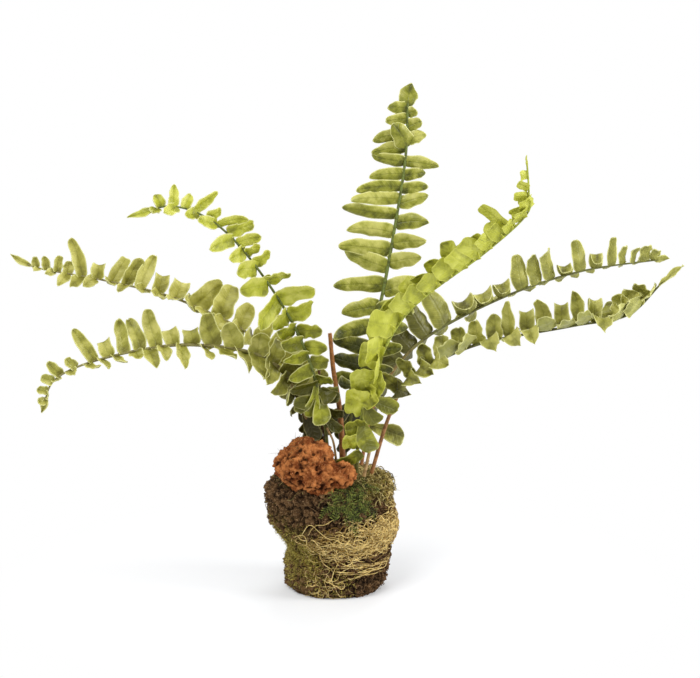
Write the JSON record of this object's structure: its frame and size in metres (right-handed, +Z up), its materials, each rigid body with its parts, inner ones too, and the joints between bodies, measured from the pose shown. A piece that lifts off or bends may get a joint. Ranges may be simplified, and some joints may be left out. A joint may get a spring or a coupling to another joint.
{
  "type": "boston fern with bare root ball",
  "caption": "Young Boston fern out of its pot: arching fronds and dry stalks in a bare soil root ball with moss, root fibre and a lump of bark. It stands on the ball's flat underside.",
  "frame": {"origin": "centre of the root ball's flat underside", "axes": "+Z up along the fern, +X to the right and -Y to the front, with the fronds spread along X"},
  "size_m": [0.4072, 0.1535, 0.3031],
  "materials": {
    "soil": "dark brown crumbly potting soil with fine roots, fully matte",
    "bark": "rust-brown pitted bark, matte",
    "moss": "olive green moss, soft and matte",
    "fibre": "tan curly root fibre, matte",
    "leaf": "mottled olive to yellow-green leaf with pale rims, soft satin",
    "dry_stalk": "reddish-brown dry stalk, matte"
  },
  "bodies": {
    "root": {"root_ball": "soil", "bark_lump": "bark", "moss_collar": "moss", "moss_cap": "moss", "fibre_band": "fibre", "fibre_loop": "fibre", "frond_left_low": "leaf", "frond_left_mid": "leaf", "frond_left_high": "leaf", "frond_centre": "leaf", "frond_front_right": "leaf", "frond_right_mid": "leaf", "frond_right_low": "leaf", "dry_stalk_tall": "dry_stalk", "dry_stalk_thin": "dry_stalk", "dry_stalk_short": "dry_stalk", "dry_stalk_curved": "dry_stalk"}
  },
  "joints": []
}
